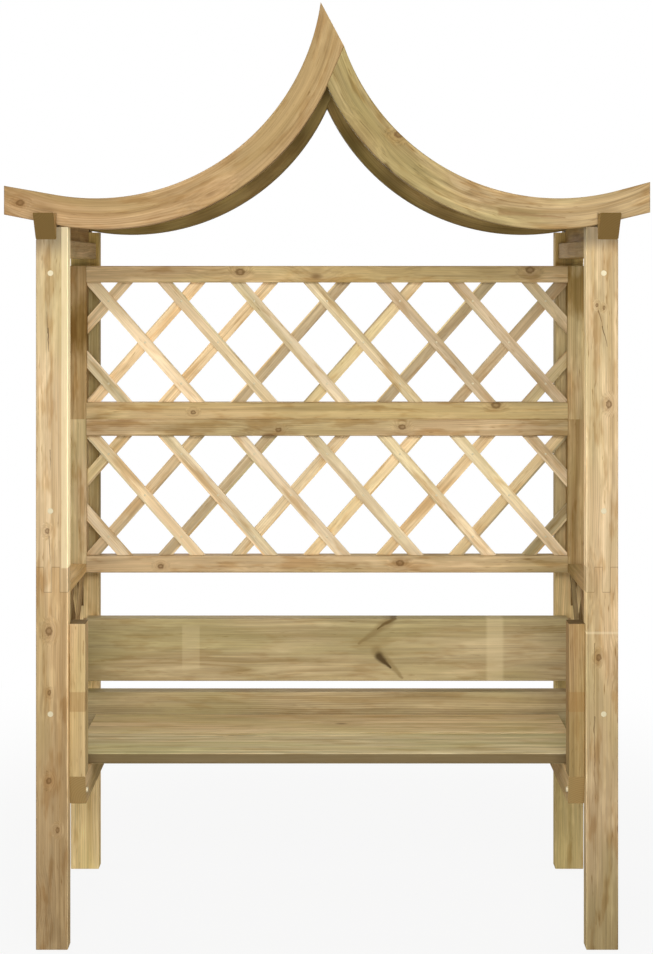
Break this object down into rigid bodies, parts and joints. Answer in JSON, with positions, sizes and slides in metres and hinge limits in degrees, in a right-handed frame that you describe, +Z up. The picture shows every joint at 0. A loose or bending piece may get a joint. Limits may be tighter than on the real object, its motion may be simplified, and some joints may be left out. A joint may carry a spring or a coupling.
{
  "type": "arbour seat",
  "caption": "Timber arbour seat with a pointed, upswept arch over a slatted roof, a lattice back in framed panels, solid back boards and a bench between open side frames.",
  "frame": {"origin": "on the ground, in the middle of the object's plan", "axes": "+Z up, +Y from the open front to the lattice back, +X to the right of someone who faces the seat"},
  "size_m": [1.416, 0.69, 2.076],
  "materials": {
    "frame_timber": "planed pressure-treated softwood, honey brown with a green tinge",
    "board_timber": "planed pressure-treated softwood boards, olive tan",
    "seat_timber": "planed pressure-treated softwood seat boards, pale tan",
    "lath_timber": "sawn thin softwood laths, tones vary from lath to lath",
    "roof_timber": "planed pressure-treated softwood slats",
    "zinc_steel": "zinc-plated steel"
  },
  "bodies": {
    "root": {"back_board": "board_timber", "bearer_bolts": "zinc_steel", "bench_upright_left": "frame_timber", "bench_upright_right": "frame_timber", "front_arch_left": "frame_timber", "front_arch_right": "frame_timber", "front_post_left": "frame_timber", "front_post_right": "frame_timber", "lower_back_board": "board_timber", "lower_panel_bottom_rail": "frame_timber", "lower_panel_laths_back": "lath_timber", "lower_panel_laths_front": "lath_timber", "lower_panel_stile_left": "frame_timber", "lower_panel_stile_right": "frame_timber", "lower_panel_top_rail": "frame_timber", "post_screws": "zinc_steel", "purlin_left": "frame_timber", "purlin_right": "frame_timber", "rear_arch_left": "frame_timber", "rear_arch_right": "frame_timber", "rear_post_left": "frame_timber", "rear_post_right": "frame_timber", "roof_slats_left": "roof_timber", "roof_slats_right": "roof_timber", "seat_bearer_left": "frame_timber", "seat_bearer_right": "frame_timber", "seat_board_front": "seat_timber", "seat_board_rear": "seat_timber", "side_arm_rail_left": "frame_timber", "side_arm_rail_right": "frame_timber", "side_batten_left": "frame_timber", "side_batten_right": "frame_timber", "side_laths_inner_left": "lath_timber", "side_laths_inner_right": "lath_timber", "side_laths_outer_left": "lath_timber", "side_laths_outer_right": "lath_timber", "side_low_rail_left": "frame_timber", "side_low_rail_right": "frame_timber", "side_top_rail_left": "frame_timber", "side_top_rail_right": "frame_timber", "upper_panel_bottom_rail": "frame_timber", "upper_panel_laths_back": "lath_timber", "upper_panel_laths_front": "lath_timber", "upper_panel_stile_left": "frame_timber", "upper_panel_stile_right": "frame_timber", "upper_panel_top_rail": "frame_timber"}
  },
  "joints": []
}
